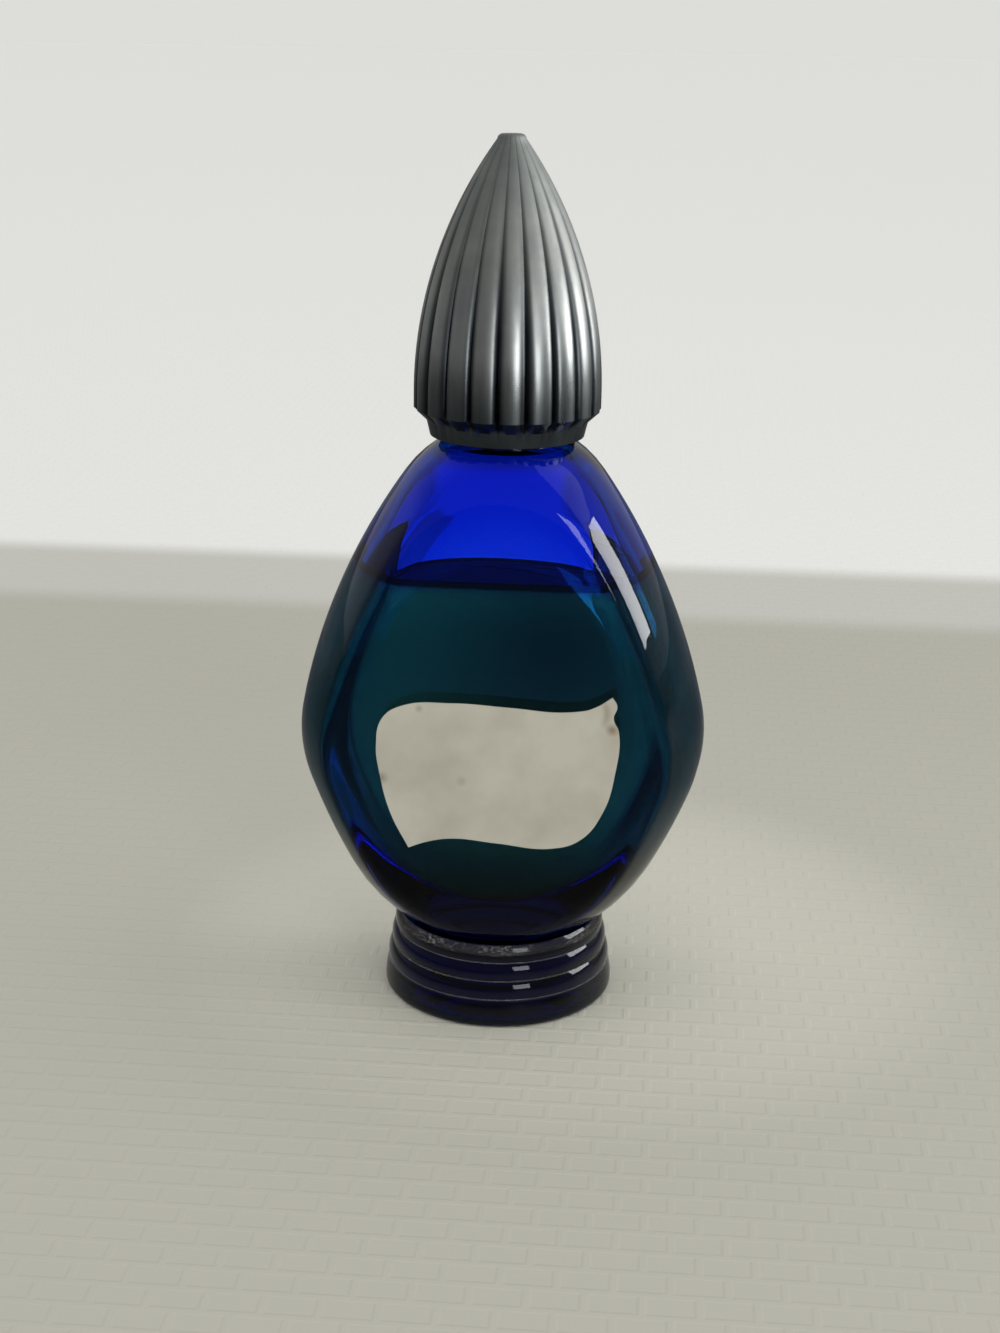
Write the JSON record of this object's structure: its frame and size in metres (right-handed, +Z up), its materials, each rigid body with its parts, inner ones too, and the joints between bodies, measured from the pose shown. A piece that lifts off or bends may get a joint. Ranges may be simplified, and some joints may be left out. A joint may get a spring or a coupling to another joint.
{
  "type": "cologne bottle",
  "caption": "Flat-sided lozenge glass cologne bottle on a ringed round foot, with a blank wavy front label and a tall fluted pointed screw cap.",
  "frame": {"origin": "centre of the foot's underside, on the plane the bottle stands on", "axes": "+Z up along the neck's axis; -Y towards the label, so the front panel faces -Y; +X to the label's right-hand side as seen from the front"},
  "size_m": [0.0428, 0.0248, 0.0905],
  "materials": {
    "cobalt_glass": "clear cobalt blue",
    "cologne": "clear amber-green liquid",
    "label_paper": "ivory paper, blank",
    "plug_plastic": "natural polyethylene",
    "cap_metal": "dark polished, fluted",
    "insert_plastic": "moulded black",
    "pulpboard": "pressed pulp",
    "liner_foil": "bright foil"
  },
  "bodies": {
    "bottle": {"glass_bottle": "cobalt_glass", "cologne_fill": "cologne", "front_label": "label_paper", "pour_plug": "plug_plastic"},
    "liner": {"liner_board": "pulpboard", "liner_facing": "liner_foil"},
    "cap": {"cap_shell": "cap_metal", "cap_insert": "insert_plastic"}
  },
  "joints": [
    {"name": "cap_rise", "type": "slide", "parent": "bottle", "child": "liner", "axis": [0, 0, 1], "range_m": [0, 0.01275]},
    {"name": "cap_turn", "type": "hinge", "parent": "liner", "child": "cap", "pos_m": [0, 0, 0.066], "axis": [0, 0, 1], "range_deg": [0, 2160]}
  ],
  "couplings": [
    {"joint": "cap_rise", "follows": "cap_turn", "m_per_rad": 0.00033693}
  ]
}
